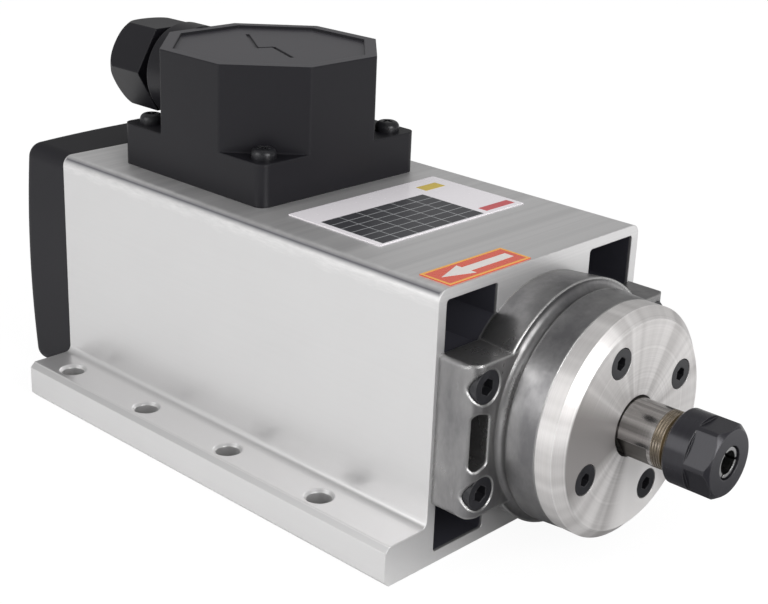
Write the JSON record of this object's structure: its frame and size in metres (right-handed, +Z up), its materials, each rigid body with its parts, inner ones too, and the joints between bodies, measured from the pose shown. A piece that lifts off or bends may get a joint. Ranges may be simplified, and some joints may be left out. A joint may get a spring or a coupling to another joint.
{
  "type": "air-cooled spindle motor",
  "caption": "Square air-cooled spindle motor on a flanged base, with a collet nose, cast front end bell, rear fan cover and a terminal box with a cable gland.",
  "frame": {"origin": "on the underside of the base, in the middle of the eight mounting holes", "axes": "+X along the shaft towards the collet, +Z up out of the base, +Y across the base"},
  "size_m": [0.229, 0.109, 0.1093],
  "materials": {
    "anodised_extrusion": "satin anodised extrusion with a fine grain along its length",
    "cast_aluminium": "smooth cast, lightly blasted",
    "turned_aluminium": "bright turned face",
    "black_screw": "black oxide",
    "black_moulding": "fine satin moulding",
    "ground_steel": "ground and polished",
    "bearing_steel": "polished",
    "cage_brass": "machined",
    "lamination_steel": "stacked sheet edges",
    "cast_rotor_cage": "die cast",
    "copper_winding": "varnished copper",
    "lead_insulation": "silicone insulation",
    "black_rubber": "matte",
    "spring_steel": "tempered",
    "black_nut": "black oxide, turned",
    "collet_steel": "ground",
    "plate_white": "printed film, no writing",
    "arrow_film": "printed film with a plain arrow",
    "terminal_plastic": "glass-filled moulding",
    "terminal_brass": "nickel-free brass screw"
  },
  "bodies": {
    "motor_frame": {"motor_housing": "anodised_extrusion", "front_end_bell": "cast_aluminium", "front_bell_screws": "black_screw", "front_cap": "turned_aluminium", "front_cap_screws": "black_screw", "rear_end_bell": "cast_aluminium", "rear_bell_screws": "black_screw", "preload_washer": "spring_steel", "fan_cover": "black_moulding", "fan_cover_screws": "black_screw", "stator_core": "lamination_steel", "stator_winding": "copper_winding", "phase_leads": "lead_insulation", "front_bearing_outer_ring_a": "bearing_steel", "front_bearing_outer_ring_b": "bearing_steel", "rear_bearing_outer_ring": "bearing_steel", "terminal_box": "black_moulding", "terminal_box_seal": "black_rubber", "terminal_box_screws": "black_screw", "terminal_block": "terminal_plastic", "terminal_screws": "terminal_brass", "gland_body": "black_moulding", "gland_locknut": "black_moulding", "gland_seal": "black_rubber", "nameplate": "plate_white", "rotation_label": "arrow_film"},
    "rotor": {"spindle_shaft": "ground_steel", "rotor_core": "lamination_steel", "rotor_cage": "cast_rotor_cage", "front_bearing_inner_ring_a": "bearing_steel", "front_bearing_inner_ring_b": "bearing_steel", "rear_bearing_inner_ring": "bearing_steel", "cooling_fan": "black_moulding", "fan_screw": "black_screw"},
    "front_ball_sets": {"front_bearing_cages": "cage_brass", "front_bearing_balls": "bearing_steel"},
    "rear_ball_set": {"rear_bearing_cage": "cage_brass", "rear_bearing_balls": "bearing_steel"},
    "clamping_collet": {"collet": "collet_steel"},
    "collet_nut": {"collet_nut": "black_nut"},
    "gland_ring": {"gland_pressure_ring": "black_moulding"},
    "gland_nut": {"gland_cap_nut": "black_moulding"}
  },
  "joints": [
    {"name": "spindle_spin", "type": "hinge", "parent": "motor_frame", "child": "rotor", "pos_m": [0, 0, 0.037], "axis": [1, 0, 0], "continuous": true},
    {"name": "front_balls_orbit", "type": "hinge", "parent": "motor_frame", "child": "front_ball_sets", "pos_m": [0, 0, 0.037], "axis": [1, 0, 0], "continuous": true},
    {"name": "rear_balls_orbit", "type": "hinge", "parent": "motor_frame", "child": "rear_ball_set", "pos_m": [0, 0, 0.037], "axis": [1, 0, 0], "continuous": true},
    {"name": "collet_release", "type": "slide", "parent": "rotor", "child": "clamping_collet", "axis": [1, 0, 0], "range_m": [0, 0.00761]},
    {"name": "collet_nut_turn", "type": "hinge", "parent": "clamping_collet", "child": "collet_nut", "pos_m": [0, 0, 0.037], "axis": [1, 0, 0], "range_deg": [0, 3600]},
    {"name": "gland_ring_slide", "type": "slide", "parent": "motor_frame", "child": "gland_ring", "axis": [-1, 0, 0], "range_m": [0, 0.00761]},
    {"name": "gland_nut_turn", "type": "hinge", "parent": "gland_ring", "child": "gland_nut", "pos_m": [-0.07025, 0, 0.0948], "axis": [-1, 0, 0], "range_deg": [0, 1800]}
  ],
  "couplings": [
    {"joint": "front_balls_orbit", "follows": "spindle_spin", "ratio": 0.39787},
    {"joint": "rear_balls_orbit", "follows": "spindle_spin", "ratio": 0.38},
    {"joint": "collet_release", "follows": "collet_nut_turn", "m_per_rad": 0.00011937},
    {"joint": "gland_ring_slide", "follows": "gland_nut_turn", "m_per_rad": 0.00023873}
  ]
}
